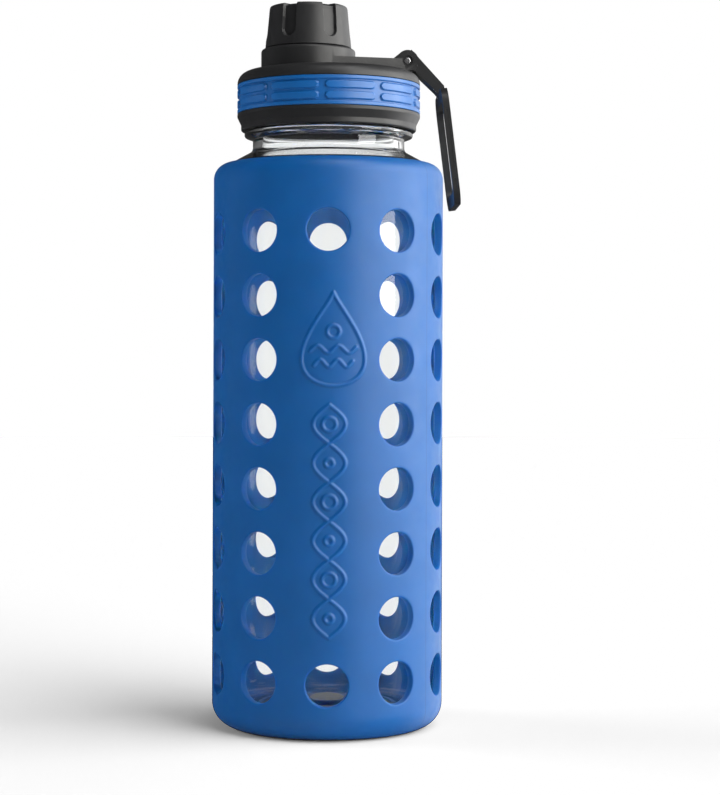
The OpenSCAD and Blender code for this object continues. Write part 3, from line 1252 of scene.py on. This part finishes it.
@dataclass
class SpoutCap:
    """Small screw cap with grip grooves that end in round bottoms.

    Attributes:
        axis_x: Place of the cap's axis.
        low: Lower edge.
        top: Height of its top.
        low_r: Outer radius at the lower edge.
        top_r: Outer radius at the top.
        bore: Inner radius.
        plate: Thickness of the top.
        grooves: Number of grooves.
        width: Width of a groove.
        depth: Depth of a groove.
        foot: Height of a groove's lower end.
        notch: How far the grooves lower the top's edge.
        soft: Half width of a groove's side.
        first_deg: Angle of the first groove from the front towards +X.
    """

    axis_x: float
    low: float
    top: float
    low_r: float
    top_r: float = 15.1 * MM
    bore: float = 12.9 * MM
    plate: float = 2.0 * MM
    grooves: int = 6
    width: float = 5.5 * MM
    depth: float = 1.5 * MM
    foot: float = 262.6 * MM
    notch: float = 1.1 * MM
    soft: float = 0.13 * MM
    first_deg: float = 32.5

    def off_groove(self, theta: np.ndarray) -> np.ndarray:
        """Measures from the nearest groove.

        Args:
            theta: Angle of each point.

        Returns:
            Angle from the groove's middle.
        """
        step = 2 * math.pi / self.grooves
        start = FRONT + math.radians(self.first_deg)
        return (theta - start + step / 2) % step - step / 2

    def relief(self, theta: np.ndarray, radius: np.ndarray, height: np.ndarray) -> np.ndarray:
        """Sinks the grooves into the outside of the cap.

        Args:
            theta: Angle of each point.
            radius: Plain radius of each point.
            height: Height of each point.

        Returns:
            The new radius of each point.
        """
        off = self.off_groove(theta)
        share = np.clip((height - self.low) / (self.top - self.low), 0, 1)
        wall = self.low_r + (self.top_r - self.low_r) * share
        half = self.width / 2
        below = np.maximum(self.foot + half - height, 0)
        away = np.hypot(wall * np.sin(off), below) - half
        floor = (wall - self.depth) / np.cos(off)
        sunk = radius + (floor - radius) * smooth_step(self.soft, -self.soft, away)
        outside = (radius > self.bore + 0.6 * MM) & (floor < radius)
        return np.where(outside, sunk, radius)

    def sink(self, theta: np.ndarray, radius: np.ndarray, height: np.ndarray) -> np.ndarray:
        """Lowers the top's edge where the grooves run out over it.

        Args:
            theta: Angle of each point.
            radius: Plain radius of each point.
            height: Height of each point.

        Returns:
            The new height of each point.
        """
        away = np.abs(self.top_r * np.sin(self.off_groove(theta))) - self.width / 2
        groove = smooth_step(2 * self.soft, -2 * self.soft, away)
        rim = smooth_step(10.8 * MM, 13.4 * MM, radius)
        upper = smooth_step(self.top - 2.4 * MM, self.top - 0.4 * MM, height)
        return height - self.notch * groove * rim * upper

    def build(self, wardrobe: Wardrobe) -> bpy.types.Object:
        """Makes the cap and dresses it.

        Args:
            wardrobe: Where its finish comes from.

        Returns:
            The piece.
        """
        edge = 1.0 * MM
        rise = np.linspace(0.025, 0.93, 66)
        side = [
            (self.low_r + (self.top_r - self.low_r) * s, self.low + (self.top - self.low) * s)
            for s in rise
        ]
        bore_rows = np.linspace(self.top - self.plate - 0.2 * MM, self.low + 0.6 * MM, 56)
        outline = [
            (self.bore + 0.4 * MM, self.low),
            *arc(self.low_r - 0.4 * MM, self.low + 0.4 * MM, 0.4 * MM, -90, -5, 4),
            *side,
            *arc(self.top_r - edge, self.top - edge, edge, 8, 90, 8),
            *[(r * MM, self.top) for r in (13.6, 13.0, 12.4, 11.8, 11.2, 10.6)], (0, self.top),
            (0, self.top - self.plate), (self.bore - 0.4 * MM, self.top - self.plate),
            *[(self.bore, z) for z in bore_rows],
        ]
        ridge = helix_ridge(4 * MM, 1.5, 264 * MM, 0.8 * MM, -0.9 * MM)

        def relief(theta: np.ndarray, radius: np.ndarray, height: np.ndarray) -> np.ndarray:
            """New radius of each point: thread on the bore, grooves outside."""
            on_bore = np.abs(radius - self.bore) < 1e-6
            return np.where(on_bore, ridge(theta, radius, height), self.relief(theta, radius, height))

        draft = MeshDraft()
        draft.lathe(outline, round_angles(672), centre_x=self.axis_x, relief=relief, sink=self.sink)
        piece = draft.build("spout_cap_body", crease=60)
        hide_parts("spout_cap")
        wardrobe.dress(piece, LID_BLACK)
        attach(piece, "cap")
        return piece


@dataclass
class Hinge:
    """Bracket with its ears, the pin, and the handle that swings on it.

    Attributes:
        bracket_edge: Rounding of the bracket's edges.
        handle_edge: Rounding of the handle's edges.
        pin_edge: Rounding of the pin's edges.
    """

    bracket_edge: float = 0.45 * MM
    handle_edge: float = 0.4 * MM
    pin_edge: float = 0.15 * MM

    def build(self, wardrobe: Wardrobe) -> list[bpy.types.Object]:
        """Makes the three pieces and dresses them.

        Args:
            wardrobe: Where their finishes come from.

        Returns:
            The bracket, the handle and the pin.
        """
        bracket = softened("hinge_bracket", "bracket_body", self.bracket_edge)
        wardrobe.dress(bracket, LID_BLACK)
        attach(bracket, "lid")
        handle = softened("carry_handle", "handle_body", self.handle_edge)
        wardrobe.dress(handle, LID_BLACK)
        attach(handle, "handle")
        pin = softened("hinge_pin", "pin_body", self.pin_edge)
        wardrobe.dress(pin, PIN_STEEL)
        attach(pin, "lid")
        return [bracket, handle, pin]


# ---------------------------------------------------------------- studio


@dataclass
class Studio:
    """Floor, lights and camera.

    Attributes:
        distance: Camera's distance from the bottle's axis.
        eye: Camera's height.
        lens: Focal length.
        shift: Sideways and upward shift of the frame.
        roll_deg: Roll of the camera.
        front_grey: Light from the surroundings on the raised panel's side.
        back_grey: Light from the surroundings behind on the handle's side.
        inner_light: Light that reaches the inside through the glass.
        mirrored_light: Level surroundings as the glass mirrors them from within.
        steep_light: High and low surroundings as the glass mirrors them from within.
        steep: Squares of the ray's rise between which the one gives way to the other.
    """

    distance: float = 0.8106
    eye: float = 0.1398
    lens: float = 95.4
    shift: tuple = (0.0404, -0.047)
    roll_deg: float = -0.18
    front_grey: float = 0.06
    back_grey: float = 1.8
    inner_light: float = 13.0
    mirrored_light: float = 0.15
    steep_light: float = 1.0
    steep: tuple = (0.12, 0.35)

    def camera(self) -> None:
        """Places the camera."""
        data = bpy.data.cameras.new("camera")
        data.lens = self.lens
        data.sensor_width = 36.0
        data.shift_x, data.shift_y = self.shift
        data.clip_start = 0.01
        eye = bpy.data.objects.new("camera", data)
        eye.location = (0, -self.distance, self.eye)
        eye.rotation_euler = Euler((math.pi / 2, math.radians(self.roll_deg), 0), "XYZ")
        bpy.context.collection.objects.link(eye)
        bpy.context.scene.camera = eye

    def softbox(
        self, name: str, place: tuple, aim: tuple, size: tuple, power: float, mirrored: bool = True
    ) -> bpy.types.Object:
        """Adds one rectangular light.

        Args:
            name: Name of the light.
            place: Where it stands.
            aim: Point that it faces.
            size: Width and height.
            power: Power in watts.
            mirrored: Whether glossy surfaces reflect it.

        Returns:
            The light.
        """
        data = bpy.data.lights.new(name, "AREA")
        data.shape = "RECTANGLE"
        data.size, data.size_y = size
        data.energy = power
        lamp = bpy.data.objects.new(name, data)
        lamp.location = place
        facing = Vector(aim) - Vector(place)
        lamp.rotation_euler = facing.to_track_quat("-Z", "Y").to_euler()
        lamp.visible_camera = False
        lamp.visible_glossy = mirrored
        lamp.visible_transmission = False
        bpy.context.collection.objects.link(lamp)
        return lamp

    def light_glass(self, glass: bpy.types.Object) -> None:
        """Lights the glass by a narrow strip of its own in place of the wide key.

        Args:
            glass: The glass bottle.
        """
        strip = self.softbox("glass_strip", (0.866, -0.5, 0.55), (0, 0, 0.55), (0.52, 0.76), 9.0)
        for lamp, state in ((bpy.data.objects["key_right"], "EXCLUDE"), (strip, "INCLUDE")):
            receivers = bpy.data.collections.new(lamp.name + "_receivers")
            receivers.objects.link(glass)
            receivers.collection_objects[0].light_linking.link_state = state
            lamp.light_linking.receiver_collection = receivers

    def spare_sleeve(self, handle: bpy.types.Object) -> None:
        """Keeps the handle's shadow and reflection in the key light off the sleeve.

        Args:
            handle: The handle.
        """
        handle.visible_glossy = False
        blockers = bpy.data.collections.new("key_right_blockers")
        blockers.objects.link(handle)
        blockers.collection_objects[0].light_linking.link_state = "EXCLUDE"
        bpy.data.objects["key_right"].light_linking.blocker_collection = blockers

    def world(self) -> None:
        """White surroundings to look at, and dimmer ones to light the surfaces by."""
        world = bpy.data.worlds.new("studio")
        world.use_nodes = True
        tree = world.node_tree
        place = wire(tree, "TexCoord", {}).outputs["Generated"]
        rays = wire(tree, "LightPath", {}).outputs
        to_dark_side = (-0.85, -0.53, 0.0)

        def along(axis: tuple) -> bpy.types.NodeSocket:
            """How far the ray points along an axis."""
            dot = wire(tree, "VectorMath", {0: place, 1: axis}, operation="DOT_PRODUCT")
            return dot.outputs["Value"]

        def combine(operation: str, first: object, second: object) -> bpy.types.NodeSocket:
            """Combines two strengths, each of them a socket or a number."""
            return wire(tree, "Math", {0: first, 1: second}, operation=operation).outputs["Value"]

        through = rays["Is Transmission Ray"]
        straight = combine("MULTIPLY", through, combine("LESS_THAN", rays["Glossy Depth"], 0.5))
        rise = along((0, 0, 1))
        ends = (self.mirrored_light, self.steep_light)
        mirrored = ramp(tree, combine("MULTIPLY", rise, rise), *self.steep, ends)
        mirrored = combine("MULTIPLY", through, mirrored)
        within = combine("MULTIPLY", through, rays["Diffuse Depth"])
        within = combine("MULTIPLY", within, self.inner_light)
        around = ramp(tree, along(to_dark_side), -1.0, -0.6, (self.back_grey, self.front_grey))
        strength = rays["Is Camera Ray"]
        for light in (straight, mirrored, within, around):
            strength = combine("MAXIMUM", strength, light)
        back = tree.nodes["Background"]
        tree.links.new(strength, back.inputs["Strength"])
        back.inputs["Color"].default_value = (1, 1, 1, 1)
        bpy.context.scene.world = world

    def floor(self) -> None:
        """Adds the pale floor."""
        level = -0.0001
        reach = 3.0
        draft = MeshDraft()
        draft.lathe([(0, level), (reach, level)], round_angles(64), closed=False)
        plane = draft.build("floor")
        nodes = Nodes("floor_paper")
        nodes.set(Base_Color=(0.9, 0.9, 0.9, 1), Roughness=0.8)
        plane.data.materials.append(nodes.material)
        plane.is_shadow_catcher = True
        plane.visible_transmission = False
        plane.visible_glossy = False

    def build(self) -> None:
        """Makes the whole studio."""
        self.camera()
        self.world()
        self.floor()
        key = self.softbox("key_right", (0.93, -0.40, 0.40), (0, 0, 0.20), (1.75, 1.4), 30.0)
        key.data.color = (1.0, 0.99, 0.95)
        self.softbox("top", (0.35, -0.45, 1.25), (0, 0, 0.2), (0.7, 0.7), 5.0)
        self.softbox("fill_left", (-1.15, 0.25, 0.35), (0, 0, 0.14), (0.8, 0.8), 10.0, mirrored=False)
        bpy.context.scene.view_settings.view_transform = "Standard"


def main() -> None:
    """Builds the bottle from the ground up and logs the kept nodes and each piece's face count."""
    logging.basicConfig(level=logging.INFO, format="%(name)s: %(message)s")
    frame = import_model()
    studio = Studio()
    studio.build()

    wardrobe = Wardrobe()
    low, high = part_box("silicone_sleeve")
    pieces = [Sleeve(radius=high.y, top=high.z).build(wardrobe)]
    low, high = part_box("glass_bottle")
    pieces.append(Flask(radius=high.y, base=low.z, top=high.z).build(wardrobe))
    studio.light_glass(pieces[-1])
    band_low, band_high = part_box("grip_band")
    pieces.append(GripBand(radius=band_high.x, low=band_low.z, high=band_high.z).build(wardrobe))
    cap_low, cap_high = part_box("spout_cap")
    spout_x = (cap_low.x + cap_high.x) / 2
    low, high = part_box("lid_cover")
    pieces.append(
        LidShell(
            radius=high.x, low=low.z, top=high.z,
            band_low=band_low.z, band_high=band_high.z, spout_x=spout_x,
        ).build(wardrobe)
    )
    pieces.append(
        SpoutCap(axis_x=spout_x, low=cap_low.z, top=cap_high.z, low_r=(cap_high.x - cap_low.x) / 2)
        .build(wardrobe)
    )
    hinge_pieces = Hinge().build(wardrobe)
    studio.spare_sleeve(hinge_pieces[1])
    pieces.extend(hinge_pieces)
    for node, finish in (
        ("lid_liner", LID_BLACK), ("lid_gasket", SEAL_WHITE), ("spout_cap_seal", SEAL_WHITE)
    ):
        kept = frame["nodes"][node]
        wardrobe.dress(kept, finish)
        LOG.info("%s keeps its shape", node)
    for piece in pieces:
        LOG.info("%s: %d faces", piece.name, len(piece.data.polygons))


if __name__ == "__main__":
    main()
